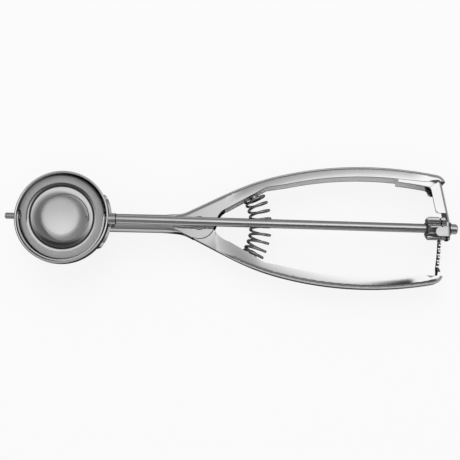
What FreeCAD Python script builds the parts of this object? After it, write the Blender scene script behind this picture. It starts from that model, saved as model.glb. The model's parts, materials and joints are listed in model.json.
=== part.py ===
import FreeCAD, Part
import math
import os

# Squeeze-handle ice cream scoop in polished stainless steel.
# A round bowl sits on a neck that opens into a bowed handle. A second, equal handle hangs on
# a rivet behind the neck. Squeezing the two drives a rack past a pinion on the long spindle,
# and the spindle turns the wiper that frees the ball from the bowl.
#
# Working frame: +X runs from the bowl to the rear, the two handles open along Y, and +Z is
# the side that the bowl's mouth faces. z = 0 is the middle of the handles' depth and x = 0 is
# below the bowl's centre. The export moves everything so that the origin is the middle of the
# part's outline box, on the surface that the bowl's back touches.

V = FreeCAD.Vector
AXIS_X = V(1, 0, 0)
AXIS_Y = V(0, 1, 0)
AXIS_Z = V(0, 0, 1)
ORIGIN = V(0, 0, 0)

# Sheet and general fits
sheet = 1.2              # handle and neck sheet
seat_gap = 0.02          # between pieces of one body that are pressed or brazed together
run_gap = 0.06           # radial play of a journal in its hole
side_gap = 0.10          # sideways play between the hinge ears
free_gap = 0.30          # between pieces that pass each other
end_play = 0.20          # of turning pieces along the spindle
reach = 60.0             # how far cutting shapes reach past what they cut
line_samples = 600       # places tried along an edge line

# Spindle line: it leans down to the rear, over the hinge and into the middle of the handles
spindle_lean = 3.0       # degrees from the handle plane
mesh_behind_nose = 4.70  # from the start of the lever's nose back to where rack and pinion meet
mesh_z = 2.6             # height of the spindle line there

# Bowl
bowl_bore_r = 22.9
bowl_wall = 1.15
bowl_lip = 2.4           # straight lip above the spindle line

# Saddle plate between bowl and neck
saddle_wall = 1.3
saddle_half_width = 14.0
saddle_half_height = 9.5
saddle_corner_r = 6.5
saddle_drop = 31.0       # degrees below the spindle line

# Neck tube and its mouth
neck_r = 4.8
neck_start_x = 16.0
neck_tube_end_x = 50.0
mouth_flare_r = 30.0     # how the round tube opens into the channel
mouth_flare_angle = 42.0
mouth_short = 3.8        # from the hinge forward to where the mouth's lower wall stops

# Handles, seen from above: the outer edge line of the upper one
neck_end_x = 57.5
shoulder_bend_r = 14.0
shoulder_angle = 26.5
shoulder_run = 24.2
bow_front_r = 125.0
bow_rear_angle = 14.0
bow_rear_r = 182.0
bow_end_angle = -10.8
frame_nose_run = 3.3     # straight between the bow and the nose
lever_nose_run = 1.0
nose_r = 5.5
nose_end_angle = -80.0
channel_half = 4.8       # half depth where the channel starts
channel_taper = 0.37     # degrees that each side widens to the rear
corner_r = 2.4
flange_width = 5.7
flange_start = 44.0      # behind the hinge, where the flanges' inner edge follows the bow
flange_end = 17.07       # before the bow's end, where it turns off the bow
rear_flange_run = 6.3    # before the nose, where the flanges have narrowed
rear_flange_drop = 3.9   # below the start of the nose, there

# Hinge
hinge_x = 70.0
ear_r = 8.0
lever_ear_r = 6.0
rivet_r = 2.0
rivet_head_r = 3.6
rivet_head_h = 0.9
spacer_r = 3.2
rivet_head_round = 0.68
rivet_sink_r = 2.9       # countersunk end in the back ear, so that the back lies flat
ear_end_angle = -10.0    # where both ears' round ends run into the flanges
ear_under_angle = -58.0
ear_front_angle = -105.0
lever_ear_under_angle = -85.0
lever_ear_front_angle = -160.0
lever_ear_top_angle = 150.0
lever_ear_back_angle = 175.0
ear_rise_x = 0.9         # from the ear's round end up to the spring seat
ear_rise_y = 2.2
knee_lift_x = 0.9
knee_lift_y = 1.1
lever_front = 2.8        # from the hinge forward to the lever's web
lever_front_y = 5.4
joggle_start = 8.5       # behind the hinge, where the lever's narrow ears begin to widen
joggle_length = 10.5

# Return spring, coiled round an arc that is centred on the hinge
spring_arc_r = 31.7
spring_coil_d = 11.8     # outside
spring_wire_d = 1.35
spring_turns = 9.0
spring_phase = -70.0     # degrees round the coil where its wire starts
spring_z = -1.15
end_pitch_share = 0.62   # closed end turns against the open ones
seat_angle = 30.0        # flange edges that the end turns rest on
seat_near_r = 16.5
lever_seat_step = 2.0    # the lever's seat starts this much further out
seat_far_r = 39.5
spring_upper_stand = 0.05   # from the end turns to the flange edges they press on
spring_lower_stand = 0.15
peg_r = 2.4
peg_z = -0.4
peg_reach = 2.6          # how far a peg stands into the coil
peg_chamfer = 0.5

# Rack and pinion
gear_module = 1.0
pinion_teeth = 10
pressure_angle = 25.0
rack_addendum = 0.85
rack_dedendum = 1.2
pinion_addendum = 1.0
pinion_dedendum = 1.1
tooth_play = 0.16        # backlash on the pitch line
rack_sheet = 1.3
rack_depth = 4.1         # from the rack teeth's tips to the back edge
rack_top_y = 2.5
rack_gaps_above = 1
rack_gaps_below = 6
rack_heel_rise = 8.67    # above the lever's nose, where the rack strip widens into its heel
rack_heel_slope = 2.5
rack_heel_half = 3.2
foot_run = 10.57         # before the nose, where the foot starts
foot_rivet_runs = (8.07, 3.57)
foot_end_inset = 3.3     # from the end of the nose
foot_rivet_r = 1.2
foot_rivet_head_r = 1.9
foot_rivet_head_h = 0.5
pinion_length = 9.35
pinion_behind_mesh = 1.2
pinion_chamfer = 0.9
relief_offset = 6.3      # groove that parts the pinion, from its front face
relief_length = 0.85
relief_r = 3.4
pinion_pin_r = 0.7
pinion_pin_offset = 3.1
pinion_pin_proud = 0.3   # its ends over the bottom of the tooth gaps

# Spindle and what rides on it
spindle_r = 2.3
spindle_chamfer = 0.3
journal_r = 1.6
rear_journal_r = 1.8
front_bush_r = 2.9
front_bush_length = 3.6
front_pin_reach = 5.0    # outside the bowl
front_pin_round = 0.5
tenon = 2.2              # square tenon through the wiper's lug
tenon_head_r = 1.75
tenon_head_top_r = 1.05
tenon_head_h = 0.6
tenon_head_edge = 0.24
tenon_root = 0.2         # how far the tenon runs into the rod it is cut from
button_r = 2.6
button_length = 3.0
button_bore_length = 2.1
button_round = 0.6
button_edge = 0.2
washer_r = 3.0
washer_h = 0.3

# Wiper
wiper_sheet = 0.8
wiper_width = 6.4
wiper_rest_angle = 8.5   # below the spindle line, on the lever's side

# Bearing bracket, guard clip and rear bush
guard_sheet = 0.8
guard_arm = 6.4          # reach of the tongue over the pinion
guard_half_height = 2.3
guard_drop = 2.75        # the tongue sits a little below the spindle line
guard_bend_r = 1.4
guard_tip_r = 2.18
guard_margin = 0.7       # metal left round the bush
bracket_foot = 16.6      # how far the bracket reaches forward under the bow
bracket_step = 0.85      # its bend lies this much inside the nose
bracket_angle = -79.4    # heading of its straight leg
bracket_bend_r = 4.0
bracket_half = 5.2       # half depth
bracket_corner_r = 2.0
bracket_flange = 6.1     # width of its side flanges
bracket_throat_r = 2.3   # rounding between the flanges of foot and leg
bracket_tip_r = 1.8      # rounding of the flanges' free corners
front_flange_end_y = 7.8     # above the pinion
back_flange_end_y = 18.4     # above the rack strip when the handles are squeezed
bracket_end_y = -5.6
bracket_end_r = 2.6
bush_r = 2.35
bush_flange_r = 3.4
bush_flange_h = 0.4
bush_shank_sink = 0.1    # the riveted shank ends this much below the flange's face

# The handles' outer edge line

class EdgeLine:
    """Straights and arcs in the XY plane, each starting where the last one ends."""

    def __init__(self, start, heading):
        self.point = start
        self.heading = heading
        self.parts = []
        self.length = 0.0
        self.bow_end = start
        self.nose_start = start
        self.nose_length = 0.0

    def run(self, length):
        self.parts.append((self.length, length, self.point, self.heading, 0.0))
        self.point = self.point + direction(self.heading) * length
        self.length += length

    def bend(self, radius, to_heading):
        turn = math.radians(to_heading - self.heading)
        curve = math.copysign(1.0 / radius, turn)
        length = abs(turn) * radius
        self.parts.append((self.length, length, self.point, self.heading, curve))
        self.point = arc_point(self.point, self.heading, curve, length)
        self.heading = to_heading
        self.length += length

    def at(self, distance):
        """Point and heading in degrees at a distance along the line."""
        for start, length, point, heading, curve in self.parts:
            if distance <= start + length + 1e-9:
                break
        step = distance - start
        if curve == 0.0:
            return point + direction(heading) * step, heading
        return arc_point(point, heading, curve, step), heading + math.degrees(curve * step)

    def distance_at_x(self, x):
        low = 0.0
        high = self.length
        while high - low > 1e-7:
            middle = (low + high) / 2
            if self.at(middle)[0].x < x:
                low = middle
            else:
                high = middle
        return low

    def inset_point(self, distance, inset):
        point, heading = self.at(distance)
        return point + inward(heading) * inset

    def edges(self, first, last, inset, side):
        """Edges of the line moved inward by inset, on the upper (+1) or lower (-1) side."""
        result = []
        for start, length, point, heading, curve in self.parts:
            a = max(start, first)
            b = min(start + length, last)
            if b - a < 1e-6:
                continue
            ends = [self.inset_point(d, inset) for d in (a, (a + b) / 2, b)]
            ends = [V(p.x, side * p.y, 0) for p in ends]
            if curve == 0.0:
                result.append(Part.LineSegment(ends[0], ends[2]).toShape())
            else:
                result.append(Part.Arc(ends[0], ends[1], ends[2]).toShape())
        return result


def direction(heading):
    angle = math.radians(heading)
    return V(math.cos(angle), math.sin(angle), 0)


def inward(heading):
    """Unit vector from the outer edge line towards the spindle."""
    angle = math.radians(heading)
    return V(math.sin(angle), -math.cos(angle), 0)


def arc_point(point, heading, curve, length):
    a0 = math.radians(heading)
    a1 = a0 + curve * length
    return point + V((math.sin(a1) - math.sin(a0)) / curve, (math.cos(a0) - math.cos(a1)) / curve, 0)


def handle_line(nose_run):
    """Outer edge line from the neck to the end of the nose."""
    line = EdgeLine(V(neck_tube_end_x, channel_half, 0), 0.0)
    line.run(neck_end_x - neck_tube_end_x)
    line.bend(shoulder_bend_r, shoulder_angle)
    line.run(shoulder_run)
    line.bend(bow_front_r, bow_rear_angle)
    line.bend(bow_rear_r, bow_end_angle)
    line.bow_end = line.point
    line.run(nose_run)
    line.nose_start = line.point
    line.bend(nose_r, nose_end_angle)
    return line


# Values that follow from the ones above

lean_rad = math.radians(spindle_lean)
taper_rad = math.radians(channel_taper)
frame_line = handle_line(frame_nose_run)
lever_line = handle_line(lever_nose_run)
mesh_x = lever_line.nose_start.x + mesh_behind_nose
bow_flange_start_x = hinge_x + flange_start
bow_flange_end_x = frame_line.bow_end.x - flange_end
mouth_end_x = hinge_x - mouth_short
lever_front_x = hinge_x - lever_front
joggle_start_x = hinge_x + joggle_start
joggle_end_x = joggle_start_x + joggle_length
foot_front_x = lever_line.nose_start.x - foot_run
rack_heel_y = rack_heel_rise - lever_line.nose_start.y
bowl_z = mesh_z + mesh_x * math.tan(lean_rad)
bowl_r = bowl_bore_r + bowl_wall
mesh_r = mesh_x - hinge_x
pitch_r = gear_module * pinion_teeth / 2.0
tip_r = pitch_r + pinion_addendum
root_r = pitch_r - pinion_dedendum
lever_per_turn = pitch_r / mesh_r
wiper_sweep = 180.0 - 2 * wiper_rest_angle
lever_travel = wiper_sweep * lever_per_turn
pinion_rear_x = mesh_x + pinion_behind_mesh
pinion_front_x = pinion_rear_x - pinion_length
guard_front_x = pinion_rear_x + end_play + tip_r * math.sin(lean_rad)
bracket_rear_x = guard_front_x + guard_sheet + seat_gap + sheet


def along_spindle(x):
    """Distance along the spindle line from the bowl's centre to a place x."""
    return x / math.cos(lean_rad)


def spindle_height(x):
    """Height of the spindle line above the handle plane."""
    return mesh_z + (mesh_x - x) * math.tan(lean_rad)


def channel_half_at(x):
    """Half depth of the channel at a place x."""
    return channel_half + (x - neck_tube_end_x) * math.tan(taper_rad)


def on_spindle(shape):
    """Put a shape made along +X from the bowl's centre onto the spindle line."""
    placed = shape.copy()
    turn = FreeCAD.Rotation(AXIS_Y, spindle_lean)
    placed.Placement = FreeCAD.Placement(V(0, 0, bowl_z), turn).multiply(shape.Placement)
    return placed


def cylinder_x(radius, x0, x1):
    return Part.makeCylinder(radius, x1 - x0, V(x0, 0, 0), AXIS_X)


def box_between(low, high):
    size = high - low
    return Part.makeBox(size.x, size.y, size.z, low)


def revolve_x(points):
    """Revolve a closed outline of (x, r) points about the X axis."""
    corners = [V(x, r, 0) for x, r in points]
    outline = Part.makePolygon(corners + [corners[0]])
    return Part.Face(outline).revolve(ORIGIN, AXIS_X, 360)


def chain(points):
    """Straight edges through a row of points."""
    return [Part.LineSegment(a, b).toShape() for a, b in zip(points, points[1:])]


def prism(edges, z0, z1):
    """Extrude a closed outline in the XY plane from z0 to z1."""
    face = Part.Face(Part.Wire(Part.__sortEdges__(edges)))
    face.translate(V(0, 0, z0))
    return face.extrude(V(0, 0, z1 - z0))


def polygon_prism(points, z0, z1):
    return prism(chain(points + [points[0]]), z0, z1)


def one_solid(shape):
    """The largest solid out of a boolean's result."""
    return max(shape.removeSplitter().Solids, key=lambda s: s.Volume)


def mirrored(shape):
    return shape.mirror(ORIGIN, AXIS_Y)


def hinge_ray(radius, angle):
    """A point at a distance from the hinge, at an angle in degrees from +X."""
    return V(hinge_x, 0, 0) + direction(angle) * radius


# Channel bodies. Both are made as the upper handle; the lever is mirrored at the end.

def depth_prism(profile):
    """Extrude a closed outline of (x, z) points across the whole width."""
    corners = [V(x, -reach, z) for x, z in profile]
    face = Part.Face(Part.makePolygon(corners + [corners[0]]))
    return face.extrude(V(0, 2 * reach, 0))


def channel_depth(inset):
    """Side profile of the channel as (x, z), widening evenly to the rear."""
    x0 = neck_tube_end_x - 1.0
    x1 = mesh_x + reach
    a = channel_half_at(x0) - inset
    b = channel_half_at(x1) - inset
    return [(x0, a), (x1, b), (x1, -b), (x0, -a)]


def lever_depth(inset):
    """Side profile of the lever: narrow between the ears, then as wide as the other handle."""
    narrow = channel_half_at(hinge_x) - sheet - side_gap - inset
    x0 = neck_tube_end_x
    x1 = mesh_x + reach
    a = channel_half_at(joggle_end_x) - inset
    b = channel_half_at(x1) - inset
    upper = [(x0, narrow), (joggle_start_x, narrow), (joggle_end_x, a), (x1, b)]
    return upper + [(x, -z) for x, z in reversed(upper)]


def round_outer_edges(block, line, inset, radius):
    """Round the edges of a block that run along the outer edge line."""
    chosen = []
    for edge in block.Edges:
        middle = edge.valueAt((edge.FirstParameter + edge.LastParameter) / 2)
        if abs(middle.z) < sheet or edge.Length < seat_gap:
            continue
        if on_line(middle.x, middle.y, line, inset) and along_line(edge, line, inset):
            chosen.append(edge)
    return block.makeFillet(radius, chosen)


def along_line(edge, line, inset):
    """Whether both ends of an edge lie on the line."""
    return all(on_line(v.X, v.Y, line, inset) for v in edge.Vertexes)


def on_line(x, y, line, inset):
    """Whether a place lies on the line, within the step between two samples of it."""
    step = line.length / line_samples
    gaps = [(line.inset_point(step * i, inset) - V(x, y, 0)).Length for i in range(line_samples + 1)]
    return min(gaps) < step


def channel_block(line, first, inset, depth, radius):
    """Solid whose outer face follows the edge line, with rounded outer edges."""
    end = line.inset_point(line.length, inset)
    deep = line.inset_point(line.length, reach / 2)
    start = line.inset_point(first, inset)
    closing = [end, deep, V(deep.x, -reach / 2, 0), V(start.x, -reach / 2, 0), start]
    edges = line.edges(first, line.length, inset, 1) + chain(closing)
    block = prism(edges, -reach / 2, reach / 2).common(depth_prism(depth))
    return round_outer_edges(block, line, inset, radius)


def flange_corners(line):
    """Inner edge of the flanges from the spring seat to the nose, as arc and corner points."""
    first = line.distance_at_x(bow_flange_start_x)
    last = line.distance_at_x(bow_flange_end_x)
    a = line.inset_point(first, flange_width)
    b = line.inset_point((first + last) / 2, flange_width)
    c = line.inset_point(last, flange_width)
    rear = line.nose_start - V(rear_flange_run, rear_flange_drop, 0)
    return a, b, c, rear


def flange_outline(line, low_points, ear_arc, near_seat):
    """Closed outline that keeps the ears and flanges of one handle."""
    start, middle, end = ear_arc
    a, b, c, rear = flange_corners(line)
    far_seat = hinge_ray(seat_far_r, seat_angle)
    rise = end + V(ear_rise_x, ear_rise_y, 0)
    knee = (rise + near_seat) * 0.5 + V(-knee_lift_x, knee_lift_y, 0)
    top = [rear, V(mesh_x + reach, rear.y, 0), V(mesh_x + reach, reach, 0),
           V(low_points[0].x, reach, 0)]
    edges = [Part.Arc(start, middle, end).toShape(),
             Part.LineSegment(end, rise).toShape(),
             Part.Arc(rise, knee, near_seat).toShape(),
             Part.LineSegment(near_seat, far_seat).toShape(),
             Part.LineSegment(far_seat, a).toShape(),
             Part.Arc(a, b, c).toShape(),
             Part.LineSegment(c, rear).toShape()]
    return edges + chain(top + low_points + [start])


def frame_handle():
    """Neck tube, fixed ears and upper bow, with the bearing bracket welded into the nose."""
    line = frame_line
    outer = channel_block(line, 0.0, 0.0, channel_depth(0.0), corner_r)
    inner = channel_block(line, 0.0, sheet, channel_depth(sheet), corner_r - sheet)
    outer = outer.common(mouth_flare(0.0))
    inner = inner.common(mouth_flare(sheet)).cut(mouth_floor(line, sheet))
    outer = outer.cut(mouth_floor(line, 0.0)).common(frame_trim(line))
    tube = cylinder_x(neck_r, neck_start_x, neck_tube_end_x)
    bore = cylinder_x(neck_r - sheet, neck_start_x - 1, neck_tube_end_x)
    shell = tube.fuse(outer).cut(bore).cut(inner)
    shell = shell.fuse(bearing_bracket())
    shell = shell.cut(Part.makeSphere(bowl_r + saddle_wall + 2 * seat_gap, V(0, 0, bowl_z)))
    shell = shell.cut(hinge_hole(rivet_r + seat_gap)).cut(rivet_sink(seat_gap, sheet))
    hole_start = along_spindle(pinion_rear_x)
    hole = cylinder_x(bush_r + seat_gap, hole_start, along_spindle(bracket_rear_x + sheet))
    return one_solid(shell.cut(on_spindle(hole)))


def hinge_hole(radius):
    return Part.makeCylinder(radius, reach, V(hinge_x, 0, -reach / 2))


def rivet_sink(gap, past_flush):
    """Countersunk end of the hinge rivet in the back ear, with a gap round it and length past it."""
    flush = channel_half_at(hinge_x - rivet_sink_r) - seat_gap
    cone = Part.makeCone(rivet_sink_r + gap, rivet_r + gap, rivet_sink_r - rivet_r, V(hinge_x, 0, -flush))
    if past_flush == 0.0:
        return cone
    return cone.fuse(Part.makeCylinder(rivet_sink_r + gap, past_flush, V(hinge_x, 0, -flush - past_flush)))


def mouth_flare(inset):
    """Turned shape that makes the channel's corners run out of the round tube."""
    r0 = neck_r - inset
    flare_r = mouth_flare_r
    x0 = neck_tube_end_x
    angle = math.radians(mouth_flare_angle)
    steps = [V(x0, r0, 0),
             V(x0 + flare_r * math.sin(angle / 2), r0 + flare_r * (1 - math.cos(angle / 2)), 0),
             V(x0 + flare_r * math.sin(angle), r0 + flare_r * (1 - math.cos(angle)), 0)]
    wide = V(steps[2].x + reach, reach * 1.5, 0)
    edges = [Part.Arc(steps[0], steps[1], steps[2]).toShape()]
    edges += chain([steps[2], wide, V(mesh_x + reach, reach * 1.5, 0), V(mesh_x + reach, 0, 0),
                    V(x0, 0, 0), steps[0]])
    return Part.Face(Part.Wire(edges)).revolve(ORIGIN, AXIS_X, 360)


def mouth_floor(line, inset):
    """What lies below the mouth's lower wall, which mirrors the upper edge line."""
    last = line.distance_at_x(mouth_end_x)
    end = line.inset_point(last, inset)
    start = line.inset_point(0.0, inset)
    low = [V(end.x, -end.y, 0), V(mouth_end_x, -end.y, 0), V(mouth_end_x, -reach, 0),
           V(start.x - 1, -reach, 0), V(start.x - 1, -start.y, 0), V(start.x, -start.y, 0)]
    if abs(end.x - mouth_end_x) < 1e-4:
        low = low[:1] + low[2:]
    return prism(line.edges(0.0, last, inset, -1) + chain(low), -reach / 2, reach / 2)


def frame_trim(line):
    """Outline of the fixed ears and the upper flanges."""
    arc = [hinge_ray(ear_r, a) for a in (ear_front_angle, ear_under_angle, ear_end_angle)]
    end = line.inset_point(line.distance_at_x(mouth_end_x), 0.0)
    low_points = [V(-1, -reach, 0), V(mouth_end_x, -reach, 0), V(mouth_end_x, -end.y, 0)]
    return prism(flange_outline(line, low_points, arc, hinge_ray(seat_near_r, seat_angle)),
                 -reach / 2, reach / 2)


def bracket_line():
    """Outer face of the bearing bracket: along the bow, round the nose and down to its end."""
    inset = sheet - seat_gap
    first = frame_line.distance_at_x(frame_line.bow_end.x - bracket_foot)
    line = EdgeLine(frame_line.inset_point(first, inset), frame_line.at(first)[1])
    line.bend(bow_rear_r - inset, bow_end_angle)
    line.run(frame_nose_run - bracket_step)
    line.bend(nose_r - sheet, bracket_angle)
    line.nose_start = line.point
    line.nose_length = line.length
    lean = math.radians(bracket_angle + 90.0)
    bend_step = bracket_bend_r * (1 - math.cos(lean))
    line.run((bracket_rear_x - line.point.x - bend_step) / math.sin(lean))
    line.bend(bracket_bend_r, -90.0)
    line.run(line.point.y - bracket_end_y)
    return line


def bracket_block(line, inset, half, radius):
    """Everything inside the bracket's outer face, with rounded edges along it."""
    start = line.inset_point(0.0, inset)
    end = line.inset_point(line.length, inset)
    edges = line.edges(0.0, line.length, inset, 1) + chain([end, V(start.x, end.y, 0), start])
    return round_outer_edges(prism(edges, -half, half), line, inset, radius)


def flange_notch(line, end_y, z0, z1):
    """What the bracket's flanges leave open on one side, with a rounded throat."""
    bow_length = line.parts[0][1]
    along = direction(line.at(bow_length)[1])
    foot_end = line.inset_point(bow_length, bracket_flange)
    leg = line.nose_start + inward(bracket_angle) * bracket_flange
    fall = direction(bracket_angle)
    cross = fall.x * along.y - fall.y * along.x
    step = ((leg.x - foot_end.x) * fall.y - (leg.y - foot_end.y) * fall.x) / -cross
    throat = foot_end + along * step
    leg_end = throat + fall * ((throat.y - end_y) / -fall.y)
    leg_top = line.nose_start + inward(bracket_angle) * sheet
    web = line.nose_length + (leg_top.y - end_y) / -fall.y
    web_end = line.inset_point(line.length, sheet)
    start = line.inset_point(0.0, bracket_flange)
    edges = line.edges(0.0, bow_length, bracket_flange, 1) + line.edges(web, line.length, sheet, 1)
    edges += chain([foot_end, throat, leg_end, line.inset_point(web, sheet)])
    edges += chain([web_end, V(web_end.x, -reach, 0), V(neck_end_x, -reach, 0),
                    V(neck_end_x, start.y, 0), start])
    notch = prism(edges, z0, z1)
    upright = [e for e in notch.Edges if e.BoundBox.ZLength > (z1 - z0) / 2]
    inner = [e for e in upright if (e.CenterOfMass - throat - AXIS_Z * (z0 + z1) / 2).Length < seat_gap]
    outer = [e for e in upright if (e.CenterOfMass - leg_end - AXIS_Z * (z0 + z1) / 2).Length < seat_gap]
    return notch.makeFillet(bracket_throat_r, inner).makeFillet(bracket_tip_r, outer)


def bearing_bracket():
    """Pressed channel inside the nose that runs down behind the pinion to the rear bush."""
    line = bracket_line()
    outer = bracket_block(line, 0.0, bracket_half, bracket_corner_r)
    inner = bracket_block(line, sheet, bracket_half - sheet, bracket_corner_r - sheet)
    body = outer.cut(inner)
    body = body.cut(flange_notch(line, front_flange_end_y, 0, reach))
    body = body.cut(flange_notch(line, back_flange_end_y, -reach, 0))
    high = V(bracket_rear_x + sheet, reach, bracket_half)
    room = box_between(V(neck_end_x, bracket_end_y, -bracket_half), high)
    low = [e for e in room.Edges
           if e.BoundBox.YMax < bracket_end_y + seat_gap and e.BoundBox.XLength > reach]
    return one_solid(body.common(room.makeFillet(bracket_end_r, low)))


def lever_handle():
    """The squeezed handle: ears between the fixed ones, then an equal bow."""
    line = lever_line
    first = line.distance_at_x(lever_front_x)
    outer = channel_block(line, first, 0.0, channel_depth(0.0), corner_r)
    inner = channel_block(line, 0.0, sheet, channel_depth(sheet), corner_r - sheet)
    outer = outer.common(depth_prism(lever_depth(0.0)))
    inner = inner.common(depth_prism(lever_depth(sheet)))
    angles = (lever_ear_front_angle, lever_ear_under_angle, ear_end_angle)
    arc = [hinge_ray(lever_ear_r, a) for a in angles]
    low_points = [V(lever_front_x, lever_front_y, 0), hinge_ray(lever_ear_r, lever_ear_top_angle),
                  hinge_ray(lever_ear_r, lever_ear_back_angle)]
    edges = flange_outline(line, low_points, arc, hinge_ray(seat_near_r + lever_seat_step, seat_angle))
    ears = channel_ears(lever_depth(0.0))
    body = outer.common(prism(edges, -reach / 2, reach / 2)).fuse(ears).cut(inner)
    body = mirrored(body.cut(ears_inside()).cut(hinge_hole(rivet_r + run_gap)))
    for hole in foot_rivets(foot_rivet_r + seat_gap, sheet * 2):
        body = body.cut(hole)
    return one_solid(body)


def channel_ears(depth):
    """Round ends of the lever's ears, about the hinge."""
    narrow = depth[0][1]
    return Part.makeCylinder(lever_ear_r, 2 * narrow, V(hinge_x, 0, -narrow))


def ears_inside():
    narrow = channel_half_at(hinge_x) - 2 * sheet - side_gap
    return Part.makeCylinder(lever_ear_r + sheet, 2 * narrow, V(hinge_x, 0, -narrow))


# Bowl, saddle and wiper, in the spindle's own frame

def bowl():
    """Half sphere with a short straight lip, and the two spindle holes."""
    lip_r = bowl_wall / 2.0
    low = bowl_lip - lip_r
    s45 = math.sqrt(0.5)
    outer_mid = V(bowl_r * s45, 0, -bowl_r * s45)
    inner_mid = V(bowl_bore_r * s45, 0, -bowl_bore_r * s45)
    edges = [Part.Arc(V(0, 0, -bowl_r), outer_mid, V(bowl_r, 0, 0)).toShape(),
             Part.LineSegment(V(bowl_r, 0, 0), V(bowl_r, 0, low)).toShape(),
             Part.Arc(V(bowl_r, 0, low), V(bowl_r - lip_r, 0, bowl_lip),
                      V(bowl_bore_r, 0, low)).toShape(),
             Part.LineSegment(V(bowl_bore_r, 0, low), V(bowl_bore_r, 0, 0)).toShape(),
             Part.Arc(V(bowl_bore_r, 0, 0), inner_mid, V(0, 0, -bowl_bore_r)).toShape(),
             Part.LineSegment(V(0, 0, -bowl_bore_r), V(0, 0, -bowl_r)).toShape()]
    cup = Part.Face(Part.Wire(edges)).revolve(ORIGIN, AXIS_Z, 360)
    hole = cylinder_x(journal_r + run_gap, -bowl_r - 1, bowl_r + 1)
    return on_spindle(one_solid(cup.cut(hole)))


def shell(inner, outer):
    return Part.makeSphere(outer).cut(Part.makeSphere(inner))


def saddle():
    """Curved plate that spreads the neck's hold over the back of the bowl."""
    low = V(0, -saddle_half_width, -saddle_half_height)
    block = box_between(low, V(reach, saddle_half_width, saddle_half_height))
    corners = [e for e in block.Edges if e.BoundBox.XLength > reach / 2]
    block = block.makeFillet(saddle_corner_r, corners)
    block.rotate(ORIGIN, AXIS_Y, saddle_drop)
    inner = bowl_r + seat_gap
    return on_spindle(one_solid(shell(inner, inner + saddle_wall).common(block)))


def wiper():
    """Half hoop that sweeps the bowl, with a square hole in each round end."""
    outer = bowl_bore_r - free_gap
    half = wiper_width / 2.0
    arm = box_between(V(-reach, -half, 0), V(reach, half, reach))
    ends = cylinder_x(half, -reach, reach)
    hoop = shell(outer - wiper_sheet, outer).common(arm.fuse(ends))
    hoop.rotate(ORIGIN, AXIS_X, 90 + wiper_rest_angle)
    side = tenon / 2.0 + seat_gap
    hoop = hoop.cut(box_between(V(-reach, -side, -side), V(reach, side, side)))
    return on_spindle(one_solid(hoop))


def tenon_and_head():
    """Square tenon through the wiper's lug and its riveted head, inside the bowl."""
    outer = bowl_bore_r - free_gap + seat_gap
    inner = math.sqrt((bowl_bore_r - free_gap - wiper_sheet) ** 2 - tenon_head_r ** 2) - seat_gap
    side = tenon / 2.0
    post = box_between(V(inner - seat_gap, -side, -side), V(outer + tenon_root, side, side))
    head = revolve_x([(inner - tenon_head_h, 0), (inner - tenon_head_h, tenon_head_top_r),
                      (inner - tenon_head_edge, tenon_head_r), (inner, tenon_head_r), (inner, 0)])
    return post.fuse(head), outer


def spindle_rod():
    """The long rod, from the wiper's lug to the end button."""
    start, outer = tenon_and_head()
    bush_end = bowl_r + front_bush_length + end_play / 2.0
    rear = along_spindle(pinion_rear_x)
    end = button_front() + button_bore_length
    body = revolve_x([(outer, 0), (outer, journal_r), (bush_end, journal_r),
                      (bush_end, spindle_r - spindle_chamfer),
                      (bush_end + spindle_chamfer, spindle_r), (rear, spindle_r),
                      (rear, rear_journal_r), (end, rear_journal_r), (end, 0)])
    return on_spindle(one_solid(body.fuse(start).cut(pinion_pin_bore(pinion_pin_r + seat_gap))))


def front_pin():
    """Stub that carries the wiper's far end and shows in front of the bowl."""
    start, outer = tenon_and_head()
    tip = bowl_r + front_pin_reach
    body = revolve_x([(outer, 0), (outer, journal_r), (tip - front_pin_round, journal_r),
                      (tip, journal_r - front_pin_round), (tip, 0)])
    return on_spindle(one_solid(body.fuse(start)).mirror(ORIGIN, AXIS_X))


def front_bush():
    """Collar on the bowl's back wall that the spindle turns in."""
    collar = cylinder_x(front_bush_r, bowl_bore_r, bowl_r + front_bush_length)
    collar = collar.cut(Part.makeCylinder(bowl_r + seat_gap, reach, V(0, 0, -reach / 2)))
    return on_spindle(one_solid(collar.cut(cylinder_x(journal_r + run_gap, 0, reach))))


# Pinion and rack

def polar(radius, angle):
    return V(0, radius * math.cos(angle), radius * math.sin(angle))


def involute(radius, base):
    """Polar angle that an involute has turned through at a radius."""
    angle = math.acos(base / radius)
    return math.tan(angle) - angle


def pinion_outline():
    """Toothed outline in the YZ plane, with one tooth pointing at the rack."""
    alpha = math.radians(pressure_angle)
    base = pitch_r * math.cos(alpha)
    pitch_half = (math.pi * gear_module - tooth_play) / (4 * pitch_r)
    at_base = pitch_half + math.tan(alpha) - alpha
    middle_r = (base + tip_r) / 2.0
    at_middle = at_base - involute(middle_r, base)
    at_tip = at_base - involute(tip_r, base)
    step = 2 * math.pi / pinion_teeth
    edges = []
    for i in range(pinion_teeth):
        a = -math.pi / 2 + i * step
        low = polar(root_r, a - at_base)
        rise = polar(base, a - at_base)
        tip_a = polar(tip_r, a - at_tip)
        tip_b = polar(tip_r, a + at_tip)
        fall = polar(base, a + at_base)
        foot = polar(root_r, a + at_base)
        following = polar(root_r, a + step - at_base)
        edges += [Part.LineSegment(low, rise).toShape(),
                  Part.Arc(rise, polar(middle_r, a - at_middle), tip_a).toShape(),
                  Part.Arc(tip_a, polar(tip_r, a), tip_b).toShape(),
                  Part.Arc(tip_b, polar(middle_r, a + at_middle), fall).toShape(),
                  Part.LineSegment(fall, foot).toShape(),
                  Part.Arc(foot, polar(root_r, a + step / 2), following).toShape()]
    return Part.Face(Part.Wire(Part.__sortEdges__(edges)))


def pinion_pin_bore(radius):
    """Cross hole through pinion and rod, between two teeth."""
    place = along_spindle(pinion_front_x) + pinion_pin_offset
    angle = math.pi / 2 - math.pi / pinion_teeth
    half = polar(root_r + pinion_pin_proud, angle)
    return Part.makeCylinder(radius, 2 * half.Length, V(place, 0, 0) - half, half)


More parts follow.
